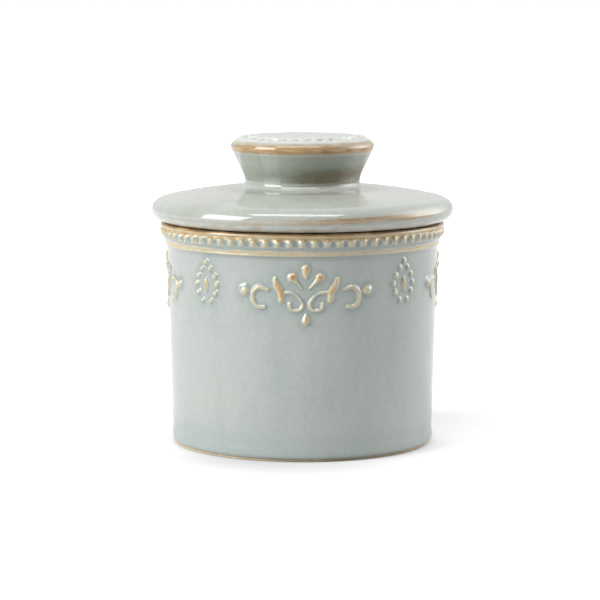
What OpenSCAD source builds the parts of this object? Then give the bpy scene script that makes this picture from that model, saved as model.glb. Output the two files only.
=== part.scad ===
// Butter crock: an open crock that holds water, and a lid whose butter cup hangs down into it.
// Millimetres, +Z up. The origin is the centre of the foot, on the surface it stands on.

/* [Crock] */
// Outer radius that the straight wall would have at the foot
wall_foot_r = 46.6; // [44:0.1:48]
// Outward lean of the wall, radius gained per millimetre of height
wall_lean = 0.0262; // [0:0.0001:0.03]
// Height of the rim's flat top
rim_top = 79.4; // [76:0.1:90]
// Radius of the cavity at its mouth
mouth_r = 44; // [43.8:0.1:45]
// Radius of the cavity at its floor
cavity_foot_r = 42.6; // [42:0.1:43]
// Height of the cavity's floor
floor_z = 8; // [7:0.1:12]

/* [Foot] */
// Outer radius of the bare clay foot ring
foot_r = 45.6; // [44:0.1:45.6]
// Width of the foot ring, across its flat face
foot_w = 4.6; // [3:0.1:6]
// Height of the bare clay below the glaze
foot_h = 0.8; // [0.5:0.1:1.2]
// Height of the recess under the floor
recess_z = 3; // [2:0.1:3.5]

/* [Lid] */
// Outer radius of the lid
lid_r = 54; // [53:0.1:56]
// Gap between the rim and the lid that rests on it
seat_gap = 0.35; // [0.3:0.05:0.6]
// Height of the lid's top where the knob stands on it
lid_top = 91.8; // [91.5:0.1:93]
// Radius of the arc of the domed top
dome_arc_r = 141; // [130:1:160]

/* [Knob] */
// Radius of the knob's neck
neck_r = 20.6; // [19:0.1:21]
// Radius of the knob at its widest
knob_r = 25.7; // [25.2:0.1:27]
// Height of the knob's flat top
knob_top = 110; // [110:0.1:112]

/* [Butter cup] */
// Height of the cup's mouth above the foot
cup_mouth_z = 30; // [25:0.5:40]
// Outer radius of the cup at its mouth
cup_mouth_r = 38.2; // [36:0.1:38.4]
// Outer radius of the cup under its locating collar
cup_root_r = 36; // [34:0.1:36.5]
// Thickness of the cup's wall
cup_wall = 3.8; // [3:0.1:4.5]
// Radius of the collar that centres the lid in the mouth
collar_r = 43; // [42:0.1:43]

/* [Relief] */
// Beads in the row round the rim
rim_bead_count = 74; // [60:1:74]
// Beads in the ring on the knob
knob_bead_count = 32; // [24:1:32]
// How far the sprigs stand out of the wall
relief_h = 0.7; // [0.4:0.1:1]
// Turn of the sprigs from the front, in degrees
relief_turn = 1.5; // [0:0.5:45]

/* [Hidden] */
$fn = 96;
EDGE_STEPS = 6;
// How far the flat back of a bead is pressed into the clay behind it
BEAD_BITE = 0.05;
// How much smaller a stroke's round end is than the stroke, so that their edges stay apart
ROUND_INSET = 0.02;
SWEEP_STEPS = 3;
SPRIGS = 4;
glaze = [0.66, 0.71, 0.68];
break_glaze = [0.86, 0.74, 0.52];
bare_clay = [0.87, 0.78, 0.64];

seat_z = rim_top + seat_gap;
base_round = 1.5;
base_r = wall_foot_r + 0.3;
band_z = rim_top - 8.8;
bead_r = 1.75;
bead_z = rim_top - 3.35;
bead_seat_r = 50.17;
bead_seat_lean = 0.048;
bead_proud = 0.88;
knob_bead_r = 1.9;
knob_bead_proud = 0.95;
knob_bead_path_r = 21.6;
knob_seat_z = knob_top - 1.1;
relief_low = 44;
relief_high = 70.4;

// ---- curves ----

function arc(centre, r, from, to, steps = EDGE_STEPS) =
    [for (i = [0:steps]) let (a = from + (to - from) * i / steps) centre + r * [cos(a), sin(a)]];

// Part of an oval; half holds its half axes, across and up
function oval(centre, half, from, to, steps = EDGE_STEPS) =
    [for (q = arc([0, 0], 1, from, to, steps)) centre + [half.x * q.x, half.y * q.y]];

function wall_r(z) = wall_foot_r + wall_lean * z;

// A point on the smooth curve through b and c, t of the way from b to c
function between(a, b, c, d, t) =
    0.5 * (2 * b + (c - a) * t + (2 * a - 5 * b + 4 * c - d) * t * t
    + (3 * b - a - 3 * c + d) * t * t * t);

// A smooth curve through a few points
function smooth(p) = let (last = len(p) - 1) concat(
    [for (i = [0:last - 1], k = [0:SWEEP_STEPS - 1])
        between(p[max(i - 1, 0)], p[i], p[i + 1], p[min(i + 2, last)], k / SWEEP_STEPS)],
    [p[last]]
);

function heading(p, i) =
    let (v = p[min(i + 1, len(p) - 1)] - p[max(i - 1, 0)]) v / norm(v);

// One edge of a stroke: each point is [along, up, half width]
function stroke_edge(p, side) =
    let (line = [for (q = p) [q.x, q.y]])
    [for (i = [0:len(p) - 1]) let (h = heading(line, i)) line[i] + side * p[i].z * [-h.y, h.x]];

function reversed(p) = [for (i = [len(p) - 1:-1:0]) p[i]];

// From a length along the wall to the plane that touches it at the front
function flatten(q) = let (r = wall_r(q.y)) [r * sin(q.x / r * 180 / PI), q.y];

// ---- relief ----

// The solid inside the wall's own cone, for the height of the relief
module wall_cone(out = 0) {
    translate([0, 0, relief_low])
        cylinder(
            h = relief_high - relief_low,
            r1 = wall_r(relief_low) + out,
            r2 = wall_r(relief_high) + out
        );
}

// One stroke with round ends, drawn on the wall by points of [along, up, half width]
module stroke(points) {
    line = smooth(points);
    outline = concat(stroke_edge(line, 1), reversed(stroke_edge(line, -1)));
    rotate([90, 0, 0])
        linear_extrude(height = wall_r(relief_high) + 2)
            union() {
                polygon([for (q = outline) flatten(q)]);
                for (end = [points[0], points[len(points) - 1]])
                    translate(flatten(end))
                        circle(r = end.z - ROUND_INSET);
            }
}

// Strokes cut to the height of the relief
module strokes_on_wall() {
    intersection() {
        children();
        difference() {
            wall_cone(relief_h);
            wall_cone();
        }
    }
}

// A round bead that stands out towards -Y from a flat back, on a face that leans like a cone
module bead(r, proud, lean = 0) {
    rotate([atan(lean), 0, 0])
        difference() {
            translate([0, r - proud, 0])
                sphere(r = r, $fn = 32);
            translate([-2 * r, BEAD_BITE, -2 * r])
                cube(4 * r);
        }
}

// Round beads on the wall: each point is [along, up, radius]
module beads_on_wall(points) {
    for (q = points)
        rotate([0, 0, q.x / wall_r(q.y) * 180 / PI])
            translate([0, -wall_r(q.y), q.y])
                bead(q.z, 0.6 * q.z, wall_lean);
}

function mirrored(p) = [for (q = p) [-q.x, q.y, q.z]];

// ---- crock ----

module water_crock() {
    outline = concat(
        [[0, recess_z], [foot_r - foot_w - 3, recess_z], [foot_r - foot_w, foot_h]],
        arc([base_r - base_round, foot_h + base_round], base_round, -90, 0),
        [[wall_r(8), 8], [wall_r(band_z), band_z]],
        arc([48.6, band_z + 1.3], 0.75, -75, 20, 4),
        arc([51.6, band_z + 2], 2.25, 185, 132, 4),
        [[bead_seat_r - 0.07, bead_z - 1.55], [bead_seat_r + 0.074, bead_z + 1.55]],
        arc([50, rim_top - 0.9], 0.9, -35, 90),
        arc([mouth_r + 1, rim_top - 1], 1, 90, 180),
        arc([cavity_foot_r - 6, floor_z + 6], 6, 0, -90),
        [[0, floor_z]]
    );
    color(glaze)
        rotate_extrude()
            polygon(outline);
}

module foot_ring() {
    edge = 0.2;
    color(bare_clay)
        rotate_extrude()
            polygon([
                [foot_r - foot_w, foot_h],
                [foot_r - foot_w, edge],
                [foot_r - foot_w + edge, 0],
                [foot_r - edge, 0],
                [foot_r, edge],
                [foot_r, foot_h]
            ]);
}

module rim_beads() {
    color(break_glaze)
        for (i = [0:rim_bead_count - 1])
            rotate([0, 0, i * 360 / rim_bead_count])
                translate([0, -bead_seat_r, bead_z])
                    bead(bead_r, bead_proud, bead_seat_lean);
}

// A leafy scroll: beads on the middle line, and an S-scroll and a C-scroll on each side
module scroll_sprig(i) {
    side_leaf = [[4.7, 64.3, 1.5], [3.6, 63, 0.8], [1.3, 60.6, 0.4]];
    horn = [[10.6, 64, 0.6], [10.3, 62, 1.1], [8.6, 59.2, 1.2], [8.5, 56.4, 1]];
    s_scroll = [
        [8.4, 59, 0.7], [5.1, 59, 0.6], [2.7, 57.6, 0.6], [1.2, 55.2, 0.7],
        [1.9, 53.3, 0.7], [3.7, 52.8, 0.7], [5.4, 53.7, 0.7], [5.6, 55.2, 0.8]
    ];
    c_scroll = [
        [13.1, 60, 0.7], [16.3, 60.8, 0.9], [18.4, 59, 0.9],
        [18.5, 56.4, 0.9], [17, 54.2, 0.9], [14.4, 53.9, 0.8]
    ];
    middle = [[0, 67.4, 1.4], [0, 66, 1.2], [0, 64, 0.5]];
    pendant = [[0, 49.2, 1.4], [0, 50.2, 1.1], [0, 51.6, 0.5]];
    color(break_glaze)
        rotate([0, 0, relief_turn + i * 360 / SPRIGS]) {
            strokes_on_wall() {
                union() {
                    stroke(middle);
                    stroke(pendant);
                    for (half = [side_leaf, horn, s_scroll, c_scroll]) {
                        stroke(half);
                        stroke(mirrored(half));
                    }
                }
            }
            beads_on_wall([[21.6, 59.4, 1.9], [-21.6, 59.4, 1.9]]);
        }
}

// A pointed rosette: a ring of small beads round one long bead
module rosette_sprig(i) {
    right_side = [
        [1.9, 66, 1], [3.9, 63.4, 1.1], [4.9, 60.6, 1.1], [4.1, 57.6, 1.1], [1.9, 54.8, 1]
    ];
    eye = [[0, 62.6, 0.6], [0, 60.8, 1.1], [0, 58.4, 0.7]];
    color(break_glaze)
        rotate([0, 0, relief_turn + (i + 0.5) * 360 / SPRIGS]) {
            beads_on_wall(concat([[0, 68.3, 1.1]], right_side, mirrored(right_side)));
            strokes_on_wall() {
                stroke(eye);
            }
        }
}

// ---- lid ----

module lid_plate() {
    edge_z = seat_z + 4.1;
    under = [5, 4.1];
    over = [5.5, 4.39];
    foot_of_knob_r = neck_r + 2.2;
    dome_centre = [foot_of_knob_r - 5, lid_top - dome_arc_r];
    dome_start = 90 - asin((foot_of_knob_r - dome_centre.x) / dome_arc_r);
    dome_end = 90 - asin((lid_r - 4 - dome_centre.x) / dome_arc_r);
    outline = concat(
        [[0, seat_z], [lid_r - under.x - 0.4, seat_z]],
        oval([lid_r - under.x, edge_z], under, -84, 0),
        oval([lid_r - over.x, edge_z], over, 12, 70),
        arc(dome_centre, dome_arc_r, dome_end, dome_start, 8),
        [[0, lid_top - 0.09]]
    );
    color(glaze)
        rotate_extrude()
            polygon(outline);
}

module butter_cup() {
    lip = cup_wall / 2;
    inner_root_r = cup_root_r - cup_wall;
    root_z = seat_z - 4;
    color(glaze)
        rotate_extrude()
            polygon(concat(
                [[inner_root_r - 2, seat_z], [collar_r, seat_z]],
                arc([collar_r - 1, seat_z - 1.2], 1, 0, -90, 4),
                [[cup_root_r + 2, root_z + 1.4]],
                arc([cup_root_r + 2, root_z - 0.6], 2, 90, 180, 4),
                [[cup_root_r + 0.3, (root_z + cup_mouth_z) / 2]],
                arc([cup_mouth_r - lip, cup_mouth_z + lip], lip, 0, -180, 8),
                [[inner_root_r + 0.6, (root_z + cup_mouth_z) / 2]],
                arc([inner_root_r - 3, seat_z - 3], 3, 0, 70, 5)
            ));
}

module lid_knob() {
    fillet = 2;
    foot_z = lid_top - 0.09;
    edge_r = 2;
    edge_z = knob_top - 3.8;
    disc_r = 19.2;
    color(glaze)
        rotate_extrude()
            polygon(concat(
                [[0, foot_z]],
                arc([neck_r + fillet, foot_z + fillet], fillet, 270, 180),
                [[neck_r + 0.5, lid_top + 4.1], [neck_r + 1.5, lid_top + 6.3]],
                arc([knob_r - edge_r, edge_z], edge_r, -28, 62),
                [[knob_r - 2.2, knob_seat_z], [disc_r + 0.6, knob_seat_z]],
                arc([disc_r, knob_top - 0.6], 0.6, 0, 90, 4),
                [[0, knob_top]]
            ));
}

module knob_beads() {
    color(glaze)
        for (i = [0:knob_bead_count - 1])
            rotate([0, 0, i * 360 / knob_bead_count])
                translate([0, -knob_bead_path_r, knob_seat_z])
                    rotate([-90, 0, 0])
                        bead(knob_bead_r, knob_bead_proud);
}

water_crock();
foot_ring();
rim_beads();
for (i = [1:SPRIGS]) {
    scroll_sprig(i);
    rosette_sprig(i);
}
lid_plate();
butter_cup();
lid_knob();
knob_beads();
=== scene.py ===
"""A glazed stoneware butter crock: its look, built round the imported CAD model."""

import math

import bpy
import numpy as np
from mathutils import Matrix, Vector


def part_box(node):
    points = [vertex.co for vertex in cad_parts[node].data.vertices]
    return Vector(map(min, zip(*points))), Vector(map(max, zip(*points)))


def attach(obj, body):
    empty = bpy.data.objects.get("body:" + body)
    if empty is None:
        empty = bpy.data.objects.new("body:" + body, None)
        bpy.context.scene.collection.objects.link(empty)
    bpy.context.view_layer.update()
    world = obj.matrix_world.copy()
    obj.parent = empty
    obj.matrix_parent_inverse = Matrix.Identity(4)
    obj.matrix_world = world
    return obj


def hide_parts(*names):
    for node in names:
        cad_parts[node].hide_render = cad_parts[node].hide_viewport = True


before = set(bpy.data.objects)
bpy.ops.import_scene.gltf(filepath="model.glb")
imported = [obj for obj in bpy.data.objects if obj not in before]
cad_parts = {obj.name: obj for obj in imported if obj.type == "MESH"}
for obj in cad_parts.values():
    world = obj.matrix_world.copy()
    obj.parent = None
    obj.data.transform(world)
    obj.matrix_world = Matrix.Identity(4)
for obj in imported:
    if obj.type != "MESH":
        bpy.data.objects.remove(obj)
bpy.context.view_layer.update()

# ---- sizes, in millimetres as in the CAD source ----

MM = 0.001


def reach(node):
    """The largest radius, the foot and the top of a CAD node."""
    low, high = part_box(node)
    return high.x / MM, low.z / MM, high.z / MM


CROCK_R, _, RIM_TOP = reach("water_crock")
FOOT_R, _, GLAZE_LINE = reach("foot_ring")
LID_R, SEAT_Z, KNOB_FOOT_Z = reach("lid_plate")
COLLAR_R, CUP_MOUTH_Z, _ = reach("butter_cup")
KNOB_R, _, KNOB_TOP = reach("lid_knob")

WALL_FOOT_R = 46.6
WALL_LEAN = 0.0262
FOOT_W = 4.6
RECESS_DEPTH = 3
MOUTH_R = 44
CAVITY_FOOT_R = 42.6
FLOOR_Z = 8
BAND_Z = RIM_TOP - 8.8
BEAD_Z = RIM_TOP - 3.35
BEAD_SEAT_R = 50.17
BEAD_SEAT_LEAN = 0.048
BEAD_PROUD = 0.88
RIM_BEADS = 74
KNOB_BEADS = 32
KNOB_BEAD_R = 21.6
KNOB_SEAT_Z = KNOB_TOP - 1.1
KNOB_BEAD_PROUD = 0.95
DOME_ARC_R = 141
NECK_R = 20.6
SPRIG_TURN = 1.5
SEGMENTS = 444

# A bead row's steps round and across each bead, its depth in the wall, and the lift or sink of its faces
BEAD_STEPS = 14
BEAD_ROWS = 17
BEAD_DEPTH = 0.5
BEAD_EDGE_SINK = 0.06
BEAD_LIFT = 0.01


def wall_r(height):
    return WALL_FOOT_R + WALL_LEAN * height


# ---- curves and meshes ----


def arc(x, z, r, start, end, steps=8):
    """Points on an arc, as [radius, height]; the angles are in degrees, anticlockwise from outward."""
    angle = np.radians(np.linspace(start, end, steps + 1))
    return np.column_stack((x + r * np.cos(angle), z + r * np.sin(angle)))


def oval(centre, half, start, end, steps):
    """Points on part of an oval; half holds its half axes, outward and up."""
    return np.array(centre) + arc(0, 0, 1, start, end, steps) * half


def smooth(points, steps):
    """Points on a smooth curve through a few points."""
    p = np.array(points, float)
    p = np.vstack((p[:1], p, p[-1:]))
    t = np.linspace(0, 1, steps, endpoint=False)[:, None]
    spans = [
        0.5 * (2 * b + (c - a) * t + (2 * a - 5 * b + 4 * c - d) * t**2 + (3 * b - a - 3 * c + d) * t**3)
        for a, b, c, d in zip(p, p[1:], p[2:], p[3:])
    ]
    return np.vstack(spans + [p[-1:]])


def step(low, high, value):
    """Rises smoothly from 0 at low to 1 at high."""
    t = np.clip((value - low) / (high - low), 0, 1)
    return t * t * (3 - 2 * t)


def band(low, high, edge, value):
    """1 between low and high, and 0 further than edge outside them."""
    return step(low - edge, low, value) * (1 - step(high, high + edge, value))


def bead_profile(away):
    """The height of a round bead: 1 over its middle, a quarter at its edge, where away is 1, and soon 0."""
    return np.exp(-1.3 * away**2.6)


def beads_round(count):
    """Angles all the way round, and at each the place along its bead, from -0.5 to 0.5."""
    steps = count * BEAD_STEPS
    angle = np.arange(steps) * 2 * math.pi / steps
    return angle, (angle * count / (2 * math.pi) + 0.5) % 1 - 0.5


def on_turn(radius, height, angle):
    """Points at an angle from the front, anticlockwise from above."""
    return np.stack(np.broadcast_arrays(radius * np.sin(angle), -radius * np.cos(angle), height), -1)


def add_piece(name, vertices, faces, ridge, pool_and_painted_light):
    """A smooth mesh. ridge says how far the glaze has run thin at each vertex; along the rim's top it
    carries a painted shadow.

    The second number says how thick the glaze lies and where light or shade is painted: 1 where it has
    pooled, -1 where painted light makes it pale, and 2 where iron has stained it, which is partly painted
    shade.
    """
    mesh = bpy.data.meshes.new(name)
    mesh.from_pydata((vertices * MM).tolist(), [], faces)
    for key, values in (("ridge", ridge), ("pool_and_painted_light", pool_and_painted_light)):
        mesh.attributes.new(key, "FLOAT", "POINT").data.foreach_set("value", values.ravel())
    mesh.shade_smooth()
    piece = bpy.data.objects.new(name, mesh)
    bpy.context.scene.collection.objects.link(piece)
    return piece


def grid_faces(rows, columns, closed):
    """Quads between the rows of a grid whose columns go all the way round."""
    row = np.arange(rows if closed else rows - 1)[:, None]
    column = np.arange(columns)[None, :]
    upper = (row + 1) % rows * columns
    right = (column + 1) % columns
    corners = (row * columns + column, row * columns + right, upper + right, upper + column)
    return np.stack(np.broadcast_arrays(*corners), -1).reshape(-1, 4).tolist()


def turned(name, outline, marks, segments=SEGMENTS):
    """A piece turned round Z from an anticlockwise outline, which closes on the axis or on itself."""
    outline = np.array(outline, float)
    on_axis = outline[0][0] == 0
    rings = outline[1:-1] if on_axis else outline
    angle = np.arange(segments) * 2 * math.pi / segments
    radius = rings[:, :1] + 0 * angle
    height = rings[:, 1:] + 0 * angle
    ridge, pool_and_painted_light = marks(radius, height, angle)
    vertices = on_turn(radius, height, angle).reshape(-1, 3)
    faces = grid_faces(len(rings), segments, closed=not on_axis)
    ridge = np.broadcast_to(ridge, radius.shape).ravel()
    pool_and_painted_light = np.broadcast_to(pool_and_painted_light, radius.shape).ravel()
    if on_axis:
        low, high = len(vertices), len(vertices) + 1
        last = low - segments
        vertices = np.vstack((vertices, [0, 0, outline[0][1]], [0, 0, outline[-1][1]]))
        for i in range(segments):
            j = (i + 1) % segments
            faces.append((low, j, i))
            faces.append((high, last + i, last + j))
        ridge = np.append(ridge, (0, 0))
        pool_and_painted_light = np.append(pool_and_painted_light, (0, 0))
    return add_piece(name, vertices, faces, ridge, pool_and_painted_light)


def shell(name, front, back, keep, ridge, pool_and_painted_light):
    """A closed thin piece between two grids of points. keep says which cells of the grids are in it."""
    rows, columns = front.shape[:2]
    count = rows * columns
    index = np.arange(count).reshape(rows, columns)
    right = np.roll(index, -1, axis=1)
    corners = np.stack((index[:-1], right[:-1], right[1:], index[1:]), -1)
    cells = corners[:, : keep.shape[1]][keep]
    start = cells.ravel()
    end = np.roll(cells, -1, axis=1).ravel()
    open_edge = ~np.isin(start * count + end, end * count + start)
    start, end = start[open_edge], end[open_edge]
    sides = np.stack((end, start, start + count, end + count), -1)
    faces = np.vstack((cells, cells[:, ::-1] + count, sides))
    used, faces = np.unique(faces, return_inverse=True)
    points = np.vstack((front.reshape(-1, 3), back.reshape(-1, 3)))[used]
    ridge = np.tile(ridge.ravel(), 2)[used]
    pool_and_painted_light = np.tile(pool_and_painted_light.ravel(), 2)[used]
    return add_piece(name, points, faces.reshape(-1, 4).tolist(), ridge, pool_and_painted_light)


# ---- sprigs ----

# Strokes of the scroll: how warm the thin glaze is, then points of [along, up, half width]
SCROLL_MIDDLE = [
    (0.8, [[0, 67.4, 1.4], [0, 66, 1.2], [0, 64, 0.5]]),
    (0.8, [[0, 49.2, 1.4], [0, 50.2, 1.1], [0, 51.6, 0.5]]),
]
SCROLL_SIDE = [
    (0.8, [[4.7, 64.3, 1.5], [3.6, 63, 0.8], [1.3, 60.6, 0.4]]),
    (0.85, [[10.6, 64, 0.6], [10.3, 62, 1.1], [8.6, 59.2, 1.2], [8.5, 56.4, 1]]),
    (
        0.55,
        [
            [8.4, 59, 0.7],
            [5.1, 59, 0.6],
            [2.7, 57.6, 0.6],
            [1.2, 55.2, 0.7],
            [1.9, 53.3, 0.7],
            [3.7, 52.8, 0.7],
            [5.4, 53.7, 0.7],
            [5.6, 55.2, 0.8],
        ],
    ),
    (
        0.6,
        [
            [13.1, 60, 0.7],
            [16.3, 60.8, 0.9],
            [18.4, 59, 0.9],
            [18.5, 56.4, 0.9],
            [17, 54.2, 0.9],
            [14.4, 53.9, 0.8],
        ],
    ),
    (0.4, [[21.6, 59.4, 1.9]]),
]
ROSETTE_MIDDLE = [
    (0.5, [[0, 68.3, 1.1]]),
    (0.8, [[0, 62.6, 0.6], [0, 60.8, 1.1], [0, 58.4, 0.7]]),
]
ROSETTE_SIDE = [
    (0.5, [[1.9, 66, 1]]),
    (0.5, [[3.9, 63.4, 1.1]]),
    (0.5, [[4.9, 60.6, 1.1]]),
    (0.5, [[4.1, 57.6, 1.1]]),
    (0.5, [[1.9, 54.8, 1]]),
]
STROKE_STEPS = 12
SPRIG_CELL = 0.22
SPRIG_SINK = 0.03
SPRIG_DEPTH = 0.4
TALLEST_STROKE = 0.95
HALO_W = 1.9


def both_sides(middle, side):
    flipped = [(warm, [[-x, up, w] for x, up, w in points]) for warm, points in side]
    return middle + side + flipped


# Each kind's strokes, degrees from the first scroll, half length, and lowest and highest point
SPRIGS = {
    "scroll_sprig": (both_sides(SCROLL_MIDDLE, SCROLL_SIDE), 0, 24.5, 46.5, 70),
    "rosette_sprig": (both_sides(ROSETTE_MIDDLE, ROSETTE_SIDE), 45, 8, 51.5, 70.4),
}


def relief(along, up, strokes):
    """The strokes' height over the wall, how warm their glaze is, and how much glaze pools beside them."""
    height = np.zeros(along.shape)
    warmth = np.zeros(along.shape)
    gap = np.full(along.shape, 9.0)
    for warm, points in strokes:
        for x, y, half in smooth(points, STROKE_STEPS):
            away = np.hypot(along - x, up - y)
            level = min(0.2 + 0.5 * half, TALLEST_STROKE) * bead_profile(away / half)
            height = np.maximum(height, level)
            warmth = np.maximum(warmth, level * warm)
            gap = np.minimum(gap, away - half)
    halo = 0.5 * np.exp(-((np.maximum(gap, 0) / HALO_W) ** 2))
    return height, warmth, halo


def without_corners(keep):
    """Fills cells until none touch only at a corner, so that the piece has no pinched edges."""
    for _ in range(4):
        a, b, c, d = keep[:-1, :-1], keep[:-1, 1:], keep[1:, :-1], keep[1:, 1:]
        pinched = (a & d & ~b & ~c) | (b & c & ~a & ~d)
        for corner in (a, b, c, d):
            corner |= pinched
    return keep


def sprig(kind, number):
    """One moulded ornament on the wall, with glaze that softens its edges."""
    strokes, offset, half_length, low, high = SPRIGS[kind]
    centre = math.radians(SPRIG_TURN + offset + 90 * number)
    across = np.linspace(-half_length, half_length, int(2 * half_length / SPRIG_CELL))
    upward = np.linspace(low, high, int((high - low) / SPRIG_CELL))
    along, up = np.meshgrid(across, upward)
    height, warmth, halo = relief(along, up, strokes)
    angle = centre + along / wall_r(up)
    front = on_turn(wall_r(up) + height - SPRIG_SINK, up, angle)
    back = on_turn(wall_r(up) - SPRIG_DEPTH, up, angle)
    tall = height > SPRIG_SINK / 2
    keep = without_corners(tall[:-1, :-1] | tall[:-1, 1:] | tall[1:, :-1] | tall[1:, 1:])
    return shell(f"{kind}_{number}_clay", front, back, keep, warmth, halo)


def wall_halo(height, angle):
    """How much glaze pools on the wall round the sprigs."""
    pool_and_painted_light = np.zeros(height.shape)
    for strokes, offset, half_length, low, high in SPRIGS.values():
        for number in range(4):
            centre = math.radians(SPRIG_TURN + offset + 90 * number)
            turn = (angle - centre + math.pi) % (2 * math.pi) - math.pi
            along = turn * wall_r(height)
            near = (abs(along) < half_length + 4) & (height > low - 4) & (height < high + 1)
            pool_and_painted_light[near] = np.maximum(pool_and_painted_light[near], relief(along[near], height[near], strokes)[2])
    return pool_and_painted_light


# ---- crock ----

SPRIG_ROWS = 32
BASE_ROUND = 1.5
BASE_R = WALL_FOOT_R + 0.3


def crock_marks(radius, height, angle):
    """Where the crock's glaze runs thin, where it pools, and a painted shadow of the lid along the rim's top
    edge.
    """
    outside = step(45.5, 46, radius)
    raised_line = outside * (0.4 * band(BAND_Z + 1.2, BAND_Z + 2.1, 0.3, height)
                             + 0.2 * band(BAND_Z + 2.2, BAND_Z + 2.8, 0.6, height))
    rim_edge = 0.58 * step(RIM_TOP - 2.2, RIM_TOP - 1.4, height) * step(MOUTH_R - 0.2, MOUTH_R + 1.5, radius)
    # Painted shadow: the rim's top outer edge is given the darkest thin-glaze colour, for the lid's shade.
    painted_lid_shadow = step(RIM_TOP - 0.8, RIM_TOP - 0.35, height) * step(CROCK_R - 1, CROCK_R - 0.7, radius)
    cove = 0.2 * outside * band(BAND_Z + 3.4, RIM_TOP - 2.2, 0.6, height)
    foot = 0.36 * outside * (1 - step(3.5, 13, height))
    floor = 0.5 * (1 - step(FLOOR_Z + 1, FLOOR_Z + 7, height)) * (1 - outside)
    halo = outside * wall_halo(height, angle)
    return np.maximum.reduce((raised_line, rim_edge, painted_lid_shadow)), np.maximum.reduce((cove, foot, floor, halo))


def crock_outline():
    foot_in = FOOT_R - FOOT_W
    return np.vstack((
        [[0, RECESS_DEPTH], [20, RECESS_DEPTH]],
        smooth([[36.5, RECESS_DEPTH], [38.3, 2.85], [39.8, 1.9], [foot_in, GLAZE_LINE]], 3),
        arc(BASE_R - BASE_ROUND, GLAZE_LINE + BASE_ROUND, BASE_ROUND, -90, 0),
        smooth([[BASE_R + 0.02, 3.6], [wall_r(6) - 0.02, 6], [wall_r(9), 9], [wall_r(14), 14]], 4),
        [[wall_r(z), z] for z in (20, 28, 36, 42)],
        [[wall_r(z), z] for z in np.linspace(46, BAND_Z, SPRIG_ROWS)],
        arc(48.6, BAND_Z + 1.3, 0.75, -70, 20),
        arc(51.6, BAND_Z + 2, 2.25, 184, 132),
        [[BEAD_SEAT_R - 0.07, BEAD_Z - 1.55], [BEAD_SEAT_R + 0.074, BEAD_Z + 1.55]],
        arc(CROCK_R - 0.9, RIM_TOP - 0.9, 0.9, -35, 90, 10),
        [[47.5, RIM_TOP]],
        arc(MOUTH_R + 1, RIM_TOP - 1, 1, 90, 180),
        [[CAVITY_FOOT_R + (MOUTH_R - CAVITY_FOOT_R) * t, FLOOR_Z + 6 + 64.4 * t] for t in (0.75, 0.5, 0.25)],
        arc(CAVITY_FOOT_R - 6, FLOOR_Z + 6, 6, 0, -90),
        [[20, FLOOR_Z], [0, FLOOR_Z]],
    ))


def foot_outline():
    foot_in = FOOT_R - FOOT_W
    edge = 0.2
    return np.vstack((
        [[foot_in, GLAZE_LINE]],
        arc(foot_in + edge, edge, edge, 180, 270, 3),
        arc(FOOT_R - edge, edge, edge, -90, 0, 3),
        [[FOOT_R, GLAZE_LINE]],
    ))


def no_marks(radius, height, angle):
    return 0 * radius, 0 * radius


def rim_bead_row():
    """The row of beads round the rim, with glaze pooled between them."""
    angle, phase = beads_round(RIM_BEADS)
    up = np.linspace(BEAD_Z - 1.6, BEAD_Z + 1.62, BEAD_ROWS)[:, None]
    draw = np.random.default_rng(5)
    scale = np.repeat(1 + draw.uniform(-0.07, 0.07, RIM_BEADS), BEAD_STEPS)
    scale = np.roll(scale, -BEAD_STEPS // 2)
    along = phase * 2 * math.pi * BEAD_SEAT_R / RIM_BEADS
    level = bead_profile(np.hypot(along / 1.38, (up - BEAD_Z - 0.12) / 1.45) / scale)
    seat = BEAD_SEAT_R + BEAD_SEAT_LEAN * (up - BEAD_Z)
    edge = band(BEAD_Z - 1.45, BEAD_Z + 1.5, 0.12, up)
    height = BEAD_PROUD * level * edge - BEAD_EDGE_SINK * (1 - edge) + BEAD_LIFT
    front = on_turn(seat + height, up, angle)
    back = on_turn(seat - BEAD_DEPTH + 0 * height, up, angle)
    keep = np.ones((len(up) - 1, len(angle)), bool)
    between = (abs(phase) - 0.5) * 2 * math.pi * BEAD_SEAT_R / RIM_BEADS
    hollow = np.exp(-(np.hypot(between, (up - BEAD_Z + 0.35) / 1.35) ** 4))
    ridge = (1 - hollow) * (0.3 + 0.3 * step(BEAD_Z + 0.2, BEAD_Z + 1.5, up))
    ridge = ridge * np.maximum(step(BEAD_Z - 1.7, BEAD_Z - 1.2, up), 0.3)
    pool_and_painted_light = hollow + 0.2 * (1 - step(BEAD_Z - 1.6, BEAD_Z - 0.9, up)) * (1 - hollow)
    return shell("rim_bead_row", front, back, keep, ridge, np.minimum(pool_and_painted_light, 1))


# ---- lid ----

# Where the lid is widest, and the half axes of its edge under and over that
EDGE_Z = SEAT_Z + 4.1
UNDER_W = 5
OVER_W, OVER_H = 5.5, 4.39


def lid_marks(radius, height, angle):
    """A thin streak that climbs round the lid's edge, a little thin glaze and painted light under it, and
    pooled glaze with painted shade round the knob, strongest at the front.
    """
    uneven = 0.45 + 0.35 * np.sin(angle) + 0.12 * np.sin(angle * 3 + 0.9) + 0.05 * np.sin(angle * 11)
    middle = EDGE_Z - 0.35 + 1.3 * np.sin(angle)
    half = 0.4 + 0.6 * uneven
    fading = 1 - 0.75 * step(0.8, 0.92, np.sin(angle))
    streak = band(middle - half, middle + half, 0.5, height) * step(LID_R - 3, LID_R - 1.5, radius)
    # Painted light: the underside is made pale, as if lit from below, with a little thin glaze.
    under = (1 - step(EDGE_Z - 2.2, EDGE_Z - 1, height)) * step(LID_R - 9, LID_R - 6, radius)
    # Pooled glaze round the knob's foot, partly painted shade, heaviest at the front.
    front = 0.5 + 0.4 * np.cos(angle)
    pool_and_painted_light = front * (1 - step(27, 35, radius)) * step(EDGE_Z + 4, EDGE_Z + 5, height)
    return np.maximum(0.68 * (fading * streak) * uneven, 0.16 * under), pool_and_painted_light - under


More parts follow.
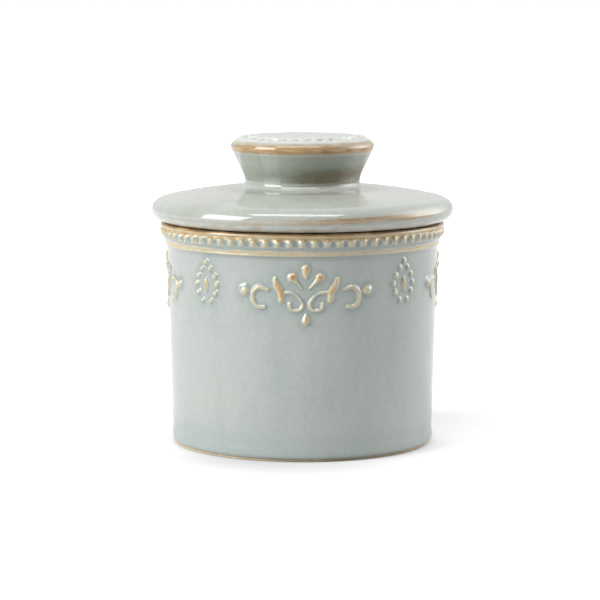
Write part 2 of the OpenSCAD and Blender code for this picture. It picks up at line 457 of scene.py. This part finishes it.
def lid_outline():
    dome_x = NECK_R + 2.2 - 5
    dome_z = KNOB_FOOT_Z + 0.09 - DOME_ARC_R
    start = math.degrees(math.acos((LID_R - 4 - dome_x) / DOME_ARC_R))
    end = math.degrees(math.acos((NECK_R + 1.7 - dome_x) / DOME_ARC_R))
    return np.vstack((
        [[0, SEAT_Z], [20, SEAT_Z], [40, SEAT_Z], [LID_R - UNDER_W - 0.4, SEAT_Z]],
        oval((LID_R - UNDER_W, EDGE_Z), (UNDER_W, EDGE_Z - SEAT_Z), -84, 0, 16),
        oval((LID_R - OVER_W, EDGE_Z), (OVER_W, OVER_H), 4, 73, 20),
        arc(dome_x, dome_z, DOME_ARC_R, start, end, 16),
        [[10, KNOB_FOOT_Z - 0.1], [0, KNOB_FOOT_Z - 0.1]],
    ))


def cup_outline():
    wall = 3.8
    lip = wall / 2
    root_r = 36
    mouth_r = 38.2
    inner_r = root_r - wall
    root_z = SEAT_Z - 4
    half_way = (root_z + CUP_MOUTH_Z) / 2
    return np.vstack((
        [[inner_r - 2, SEAT_Z], [COLLAR_R, SEAT_Z]],
        arc(COLLAR_R - 1, SEAT_Z - 1.2, 1, 0, -90),
        [[root_r + 2.6, root_z + 1.5]],
        arc(root_r + 2, root_z - 0.6, 2, 95, 180),
        smooth([[root_r, root_z - 3], [root_r + 0.3, half_way], [mouth_r - 0.04, CUP_MOUTH_Z + 6]], 5),
        arc(mouth_r - lip, CUP_MOUTH_Z + lip, lip, 0, -180, 14),
        smooth([[mouth_r - wall, CUP_MOUTH_Z + 6], [inner_r + 0.6, half_way], [inner_r, root_z - 3]], 5),
        arc(inner_r - 3, SEAT_Z - 3, 3, 0, 70),
    ))[::-1]


def cup_marks(radius, height, angle):
    """Thin glaze on the cup's lip and collar, and glaze pooled where the wall meets the lid."""
    lip = 0.7 * (1 - step(CUP_MOUTH_Z + 0.2, CUP_MOUTH_Z + 2, height))
    collar = 0.5 * step(COLLAR_R - 0.8, COLLAR_R, radius)
    root = 0.4 * band(SEAT_Z - 5, SEAT_Z - 3, 2, height) * (1 - step(39, 41, radius))
    return np.maximum(lip, collar), root


def knob_marks(radius, height, angle):
    """A tan band round the knob's edge, painted light round its disc, and painted shade on its olive side
    and brown neck, darker on the right.
    """
    uneven = 0.5 + 0.3 * np.sin(angle + 0.3) + 0.2 * np.sin(angle * 3 + 2) + 0.1 * np.sin(angle * 8)
    edge = step(KNOB_TOP - 6, KNOB_TOP - 5, height) * (1 - step(KNOB_TOP - 3.3, KNOB_TOP - 1.6, height))
    deep = 0.6 + 0.3 * band(KNOB_TOP - 4.8, KNOB_TOP - 3.9, 0.6, height)
    golden = 0.25 + 0.25 * step(0.4, 0.95, np.sin(angle))
    shoulder = golden * band(KNOB_TOP - 3, KNOB_TOP - 1.7, 0.4, height)
    # Painted light: the step round the disc is made pale.
    pale = step(KNOB_TOP - 1.6, KNOB_TOP - 1.1, height) * step(18.6, 19, radius)
    outside = step(KNOB_R - 8, KNOB_R - 6, radius)
    # Olive pooled glaze on the knob's side, partly painted shade, heavier on the right.
    flank_pool_and_shade = (0.62 + 0.3 * np.sin(angle)) * outside * band(KNOB_FOOT_Z + 2.5, KNOB_TOP - 6.5, 1, height)
    neck = (1 - step(95.5, 101.5, height)) * step(KNOB_FOOT_Z + 1, KNOB_FOOT_Z + 2, height)
    # Iron brown at the neck's foot, partly painted shade, much heavier on the right.
    stain_and_shade = neck * (0.3 + 0.95 * step(-0.6, 0.5, np.sin(angle)))
    return np.maximum(edge * deep * (0.8 + 0.25 * uneven), shoulder), flank_pool_and_shade + stain_and_shade - pale


def knob_outline():
    fillet = 2
    edge_r = 2
    edge_z = KNOB_TOP - 3.8
    disc_r = 19.2
    neck = [[NECK_R + 0.1, KNOB_FOOT_Z + 2.7], [NECK_R + 0.5, 95.9], [NECK_R + 1.5, 98.1], [24, 102.2]]
    return np.vstack((
        [[0, KNOB_FOOT_Z], [12, KNOB_FOOT_Z]],
        arc(NECK_R + fillet, KNOB_FOOT_Z + fillet, fillet, 270, 190),
        smooth(neck, 4),
        [[24 + (KNOB_R - 24.23) * t, 102.2 + 3.06 * t] for t in (0.2, 0.4, 0.6, 0.8)],
        arc(KNOB_R - edge_r, edge_z, edge_r, -28, 62, 12),
        [[KNOB_R - 2.2, KNOB_SEAT_Z], [disc_r + 0.6, KNOB_SEAT_Z]],
        arc(disc_r, KNOB_TOP - 0.6, 0.6, 0, 90),
        [[18, KNOB_TOP], [15, KNOB_TOP - 0.05], [8, KNOB_TOP - 0.1], [0, KNOB_TOP - 0.1]],
    ))


def knob_bead_ring():
    """The ring of beads round the knob's top, made pale as painted light."""
    angle, phase = beads_round(KNOB_BEADS)
    radius = np.linspace(23.4, 19.85, BEAD_ROWS)[:, None]
    along = phase * 2 * math.pi * KNOB_BEAD_R / KNOB_BEADS
    level = bead_profile(np.hypot(along, radius - KNOB_BEAD_R) / 1.5)
    edge = band(20, 23.2, 0.12, radius)
    height = KNOB_BEAD_PROUD * level * edge - BEAD_EDGE_SINK * (1 - edge) + BEAD_LIFT
    front = on_turn(radius, KNOB_SEAT_Z + height, angle)
    back = on_turn(radius, KNOB_SEAT_Z - BEAD_DEPTH + 0 * height, angle)
    keep = np.ones((len(radius) - 1, len(angle)), bool)
    # Painted light: the beads are pale, a little less so between them.
    return shell("knob_bead_ring", front, back, keep, 0 * level, -1 + 0.3 * (1 - level))


# ---- materials ----


def srgb(red, green, blue):
    """The linear colour of 8-bit display values."""
    channel = np.array((red, green, blue)) / 255
    return (*np.where(channel <= 0.04045, channel / 12.92, ((channel + 0.055) / 1.055) ** 2.4), 1)


def node(tree, kind, inputs=(), **settings):
    """A shader node. An input is a value or another node's output."""
    made = tree.nodes.new("ShaderNode" + kind)
    for key, value in settings.items():
        setattr(made, key, value)
    for key, value in dict(inputs).items():
        if isinstance(value, bpy.types.NodeSocket):
            tree.links.new(value, made.inputs[key])
        else:
            made.inputs[key].default_value = value
    return made


def math_node(tree, operation, a, b=0.0):
    return node(tree, "Math", {0: a, 1: b}, operation=operation).outputs[0]


def fit_range(tree, value, low, high, to_low=0.0, to_high=1.0):
    """Maps low..high to to_low..to_high with soft ends."""
    inputs = {"Value": value, "From Min": low, "From Max": high, "To Min": to_low, "To Max": to_high}
    return node(tree, "MapRange", inputs, interpolation_type="SMOOTHSTEP").outputs[0]


def mix_colour(tree, factor, a, b, blend="MIX"):
    return node(tree, "Mix", {0: factor, 6: a, 7: b}, data_type="RGBA", blend_type=blend).outputs[2]


def noise(tree, where, scale, detail=2.0, stretch=(1, 1, 1)):
    """Soft noise; scale is in features per metre."""
    moved = node(tree, "Mapping", {"Vector": where, "Scale": stretch}).outputs[0]
    return node(tree, "TexNoise", {"Vector": moved, "Scale": scale, "Detail": detail}).outputs[0]


def ramp(tree, factor, stops):
    made = node(tree, "ValToRGB", {0: factor})
    elements = made.color_ramp.elements
    while len(elements) < len(stops):
        elements.new(0.5)
    for element, (position, colour) in zip(elements, stops):
        element.position = position
        element.color = colour
    return made.outputs[0]


CROCK_TINTS = (srgb(175, 183, 179), srgb(182, 187, 183))
LID_TINTS = (srgb(185, 190, 182), srgb(190, 194, 186))
CROCK_POOLED = srgb(130, 152, 146)
# Olive pooled glaze of the lid, also used as painted shade on the knob's side and round its foot.
LID_POOL_AND_SHADE = srgb(126, 131, 115)
CROCK_THIN = [
    (0.0, srgb(196, 196, 178)),
    (0.3, srgb(211, 204, 174)),
    (0.5, srgb(206, 189, 148)),
    (0.75, srgb(206, 158, 100)),
    # The last stop is partly the darkest thin glaze, and along the rim's top it is painted shade under the
    # lid.
    (1.0, srgb(122, 104, 76)),
]
LID_THIN = [
    (0.0, srgb(198, 194, 180)),
    (0.25, srgb(188, 176, 152)),
    (0.5, srgb(170, 148, 116)),
    (0.75, srgb(192, 154, 98)),
    (1.0, srgb(150, 106, 64)),
]
# Brown iron tint, used as painted shade at the foot of the knob's neck.
STAIN_AND_SHADE = srgb(120, 110, 86)
# Painted light: a pale colour for the lid's underside and the knob's beads and disc step.
PAINTED_LIGHT_PALE = srgb(216, 218, 212)
IRON = srgb(105, 92, 72)
GRAIN_TINTS = (srgb(120, 125, 120), srgb(255, 255, 250))
CLAY_TINTS = (srgb(214, 196, 166), srgb(196, 176, 146))
SAND = srgb(150, 126, 98)
GLAZE_IOR = 1.6
GLAZE_GLOSS = 0.65


def specks(tree, where, scale, size, share, seed):
    """Small round spots: 1 in a spot, 0 outside. share says how many of the cells have one."""
    moved = node(tree, "Mapping", {"Vector": where, "Location": (seed, seed, seed)}).outputs[0]
    cells = node(tree, "TexVoronoi", {"Vector": moved, "Scale": scale})
    inside = fit_range(tree, cells.outputs["Distance"], size, size * 0.4)
    draw = node(tree, "SeparateColor", {0: cells.outputs["Color"]}).outputs[0]
    chosen = math_node(tree, "LESS_THAN", draw, share)
    return math_node(tree, "MULTIPLY", inside, chosen)


def glaze(name, tints, pooled, thin_stops):
    """Celadon glaze over buff stoneware.

    It is cloudy and speckled, darker where it pools, and cream to brown where it is thin; marks on the mesh
    also paint light and shade on it.
    """
    material = bpy.data.materials.new(name)
    material.use_nodes = True
    tree = material.node_tree
    shader = tree.nodes["Principled BSDF"]
    where = node(tree, "TexCoord").outputs["Object"]
    ridge = node(tree, "Attribute", attribute_name="ridge").outputs["Fac"]
    pool_and_painted_light = node(tree, "Attribute", attribute_name="pool_and_painted_light").outputs["Fac"]
    clouds = noise(tree, where, 40, 4)
    runs = noise(tree, where, 90, 3, (1, 1, 0.2))
    grain = noise(tree, where, 600, 3)
    body = mix_colour(tree, fit_range(tree, clouds, 0.35, 0.65), *tints)
    body = mix_colour(tree, fit_range(tree, runs, 0.45, 0.75, 0, 0.18), body, pooled)
    body = mix_colour(tree, math_node(tree, "MULTIPLY", pool_and_painted_light, 0.75), body, pooled)
    # Values over 1 give iron brown, partly painted shade.
    body = mix_colour(tree, fit_range(tree, pool_and_painted_light, 1, 2), body, STAIN_AND_SHADE)
    # Negative values give painted light, a pale colour.
    body = mix_colour(tree, fit_range(tree, pool_and_painted_light, 0, -1), body, PAINTED_LIGHT_PALE)
    wander = math_node(tree, "SUBTRACT", noise(tree, where, 160, 3, (1, 1, 3)), 0.5)
    patchy = math_node(tree, "ADD", math_node(tree, "MULTIPLY", wander, 1.2), 1)
    uneven_ridge = math_node(tree, "MULTIPLY", ridge, patchy)
    thin = math_node(tree, "ADD", uneven_ridge, math_node(tree, "MULTIPLY", wander, 0.3))
    body = mix_colour(tree, fit_range(tree, thin, 0.06, 0.3), body, ramp(tree, thin, thin_stops))
    grains = mix_colour(tree, fit_range(tree, grain, 0.3, 0.7), *GRAIN_TINTS)
    body = mix_colour(tree, 0.035, body, grains)
    small = math_node(tree, "MULTIPLY", specks(tree, where, 330, 0.1, 0.3, 0.31), 0.4)
    large = math_node(tree, "MULTIPLY", specks(tree, where, 95, 0.045, 0.4, 0.17), 0.55)
    body = mix_colour(tree, math_node(tree, "MAXIMUM", small, large), body, IRON)
    tree.links.new(body, shader.inputs["Base Color"])
    tree.links.new(fit_range(tree, clouds, 0.3, 0.7, 0.07, 0.12), shader.inputs["Roughness"])
    swell = noise(tree, where, 130, 2)
    peel = noise(tree, where, 700, 2)
    lumps = math_node(tree, "ADD", swell, math_node(tree, "MULTIPLY", peel, 0.12))
    bump = node(tree, "Bump", {"Height": lumps, "Strength": 0.25, "Distance": 0.0004})
    tree.links.new(bump.outputs[0], shader.inputs["Normal"])
    shader.inputs["IOR"].default_value = GLAZE_IOR
    shader.inputs["Specular IOR Level"].default_value = GLAZE_GLOSS
    return material


def bare_clay():
    """Unglazed buff stoneware, dry and sandy."""
    material = bpy.data.materials.new("buff_clay")
    material.use_nodes = True
    tree = material.node_tree
    shader = tree.nodes["Principled BSDF"]
    where = node(tree, "TexCoord").outputs["Object"]
    sand = noise(tree, where, 1500, 4)
    patches = noise(tree, where, 120, 3)
    colour = mix_colour(tree, fit_range(tree, patches, 0.3, 0.7), *CLAY_TINTS)
    colour = mix_colour(tree, fit_range(tree, sand, 0.55, 0.75, 0, 0.5), colour, SAND)
    tree.links.new(colour, shader.inputs["Base Color"])
    shader.inputs["Roughness"].default_value = 0.85
    bump = node(tree, "Bump", {"Height": sand, "Strength": 0.5, "Distance": 0.0003})
    tree.links.new(bump.outputs[0], shader.inputs["Normal"])
    return material


# ---- pieces ----

MATERIALS = {
    "celadon_glaze": glaze("celadon", CROCK_TINTS, CROCK_POOLED, CROCK_THIN),
    "breaking_glaze": glaze("thin_celadon", CROCK_TINTS, CROCK_POOLED, CROCK_THIN),
    "bare_stoneware": bare_clay(),
}

PIECES = [
    (turned("crock_body", crock_outline(), crock_marks), "water_crock", "crock", "celadon_glaze"),
    (turned("foot_ring_clay", foot_outline(), no_marks), "foot_ring", "crock", "bare_stoneware"),
    (rim_bead_row(), "rim_beads", "crock", "breaking_glaze"),
    (turned("lid_disc", lid_outline(), lid_marks), "lid_plate", "lid", "celadon_glaze"),
    (turned("butter_cup_shell", cup_outline(), cup_marks), "butter_cup", "lid", "celadon_glaze"),
    (turned("knob_body", knob_outline(), knob_marks), "lid_knob", "lid", "celadon_glaze"),
    (knob_bead_ring(), "knob_beads", "lid", "celadon_glaze"),
]
for number in range(1, 5):
    for kind in SPRIGS:
        PIECES.append((sprig(kind, number), f"{kind}_{number}", "crock", "breaking_glaze"))

LID_GLAZE = glaze("lid_celadon", LID_TINTS, LID_POOL_AND_SHADE, LID_THIN)

for piece, cad_node, body, slot in PIECES:
    piece.data.materials.append(LID_GLAZE if body == "lid" else MATERIALS[slot])
    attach(piece, body)
    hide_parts(cad_node)

# ---- stage, camera and light ----

FLOOR_SIZE = 40
FLOOR_LIT = (0.47, 0.47, 0.47, 1)
FLOOR_MIRRORED = (1.0, 1.0, 1.0, 1)
SHADE_MIDDLE = (0, -0.03, 0)
CAMERA_PLACE = (-0.00087, -0.9032, 0.1648)
CAMERA_TILT = 7.208
LENS = 151.68


def white_floor():
    """A white floor.

    The camera sees it white, with a painted contact shadow close to the crock. The glaze mirrors it white,
    and what it throws back on the crock is less.
    """
    material = bpy.data.materials.new("floor")
    material.use_nodes = True
    tree = material.node_tree
    path = node(tree, "LightPath")
    colour = mix_colour(tree, path.outputs["Is Glossy Ray"], FLOOR_LIT, FLOOR_MIRRORED)
    where = node(tree, "TexCoord").outputs["Object"]
    away = node(tree, "VectorMath", {0: where, 1: SHADE_MIDDLE}, operation="DISTANCE").outputs["Value"]
    # Painted contact shadow: darker for the camera close to the crock.
    near = fit_range(tree, away, 0.02, 0.07, 0.76, 1.2)
    seen = math_node(tree, "ADD", near, fit_range(tree, away, 0.1, 0.6, 0, 1))
    seen = node(tree, "CombineColor", {0: seen, 1: seen, 2: seen}).outputs[0]
    colour = mix_colour(tree, path.outputs["Is Camera Ray"], colour, seen)
    paint = node(tree, "BsdfDiffuse", {"Color": colour})
    tree.links.new(paint.outputs[0], tree.nodes["Material Output"].inputs[0])
    mesh = bpy.data.meshes.new("floor")
    half = FLOOR_SIZE / 2
    corners = [(-half, -half, 0), (half, -half, 0), (half, half, 0), (-half, half, 0)]
    mesh.from_pydata(corners, [], [(0, 1, 2, 3)])
    mesh.materials.append(material)
    floor = bpy.data.objects.new("floor", mesh)
    bpy.context.scene.collection.objects.link(floor)


def direction(azimuth, elevation):
    """A unit vector; azimuth is in degrees from the front, towards the right."""
    a, e = math.radians(azimuth), math.radians(elevation)
    return Vector((math.sin(a) * math.cos(e), -math.cos(a) * math.cos(e), math.sin(e)))


# Soft glows of the room: azimuth, elevation, sharpness and strength
GLOWS = [
    (180, 20, 2, 0.86),
    (106, 12, 9, 5.0),
]
ROOM = 0.015

# Softboxes: azimuth, elevation, width and height in degrees as the crock sees them, and brightness
SOFTBOX_AWAY = 12
SOFTBOX_AIM = Vector((0, 0, 0.06))
SOFTBOXES = [
    (-64, 19, 36, 38, 7.0),
    (-8, 68, 50, 19, 5.7),
]


def studio():
    """The room's light: glows behind the crock and on its right. The camera itself sees white."""
    world = bpy.data.worlds.new("studio")
    bpy.context.scene.world = world
    world.use_nodes = True
    tree = world.node_tree
    towards = node(tree, "TexCoord").outputs["Generated"]
    total = ROOM
    for azimuth, elevation, sharpness, strength in GLOWS:
        inputs = {0: towards, 1: direction(azimuth, elevation)}
        cosine = node(tree, "VectorMath", inputs, operation="DOT_PRODUCT").outputs["Value"]
        lobe = math_node(tree, "POWER", math_node(tree, "MAXIMUM", cosine, 0.0), sharpness)
        total = math_node(tree, "ADD", math_node(tree, "MULTIPLY", lobe, strength), total)
    light = node(tree, "Background", {"Color": (1, 1, 1, 1), "Strength": total})
    white = node(tree, "Background", {"Color": (1, 1, 1, 1), "Strength": 1.0})
    camera = node(tree, "LightPath").outputs["Is Camera Ray"]
    both = node(tree, "MixShader", {0: camera, 1: light.outputs[0], 2: white.outputs[0]})
    tree.links.new(both.outputs[0], tree.nodes["World Output"].inputs[0])


def softbox(azimuth, elevation, width, height, brightness):
    """A rectangular light that faces the middle of the crock."""
    lamp = bpy.data.lights.new("softbox", "AREA")
    lamp.shape = "RECTANGLE"
    lamp.size = 2 * SOFTBOX_AWAY * math.tan(math.radians(width / 2))
    lamp.size_y = 2 * SOFTBOX_AWAY * math.tan(math.radians(height / 2))
    lamp.energy = brightness * math.pi * lamp.size * lamp.size_y
    box = bpy.data.objects.new("softbox", lamp)
    towards = direction(azimuth, elevation)
    box.location = SOFTBOX_AIM + towards * SOFTBOX_AWAY
    box.visible_camera = False
    box.rotation_euler = towards.to_track_quat("Z", "Y").to_euler()
    bpy.context.scene.collection.objects.link(box)


def make_camera():
    data = bpy.data.cameras.new("camera")
    data.lens = LENS
    camera = bpy.data.objects.new("camera", data)
    camera.location = CAMERA_PLACE
    camera.rotation_euler = (math.radians(90 - CAMERA_TILT), 0, 0)
    bpy.context.scene.collection.objects.link(camera)
    bpy.context.scene.camera = camera


white_floor()
studio()
for settings in SOFTBOXES:
    softbox(*settings)
make_camera()
bpy.context.scene.view_settings.view_transform = "Standard"
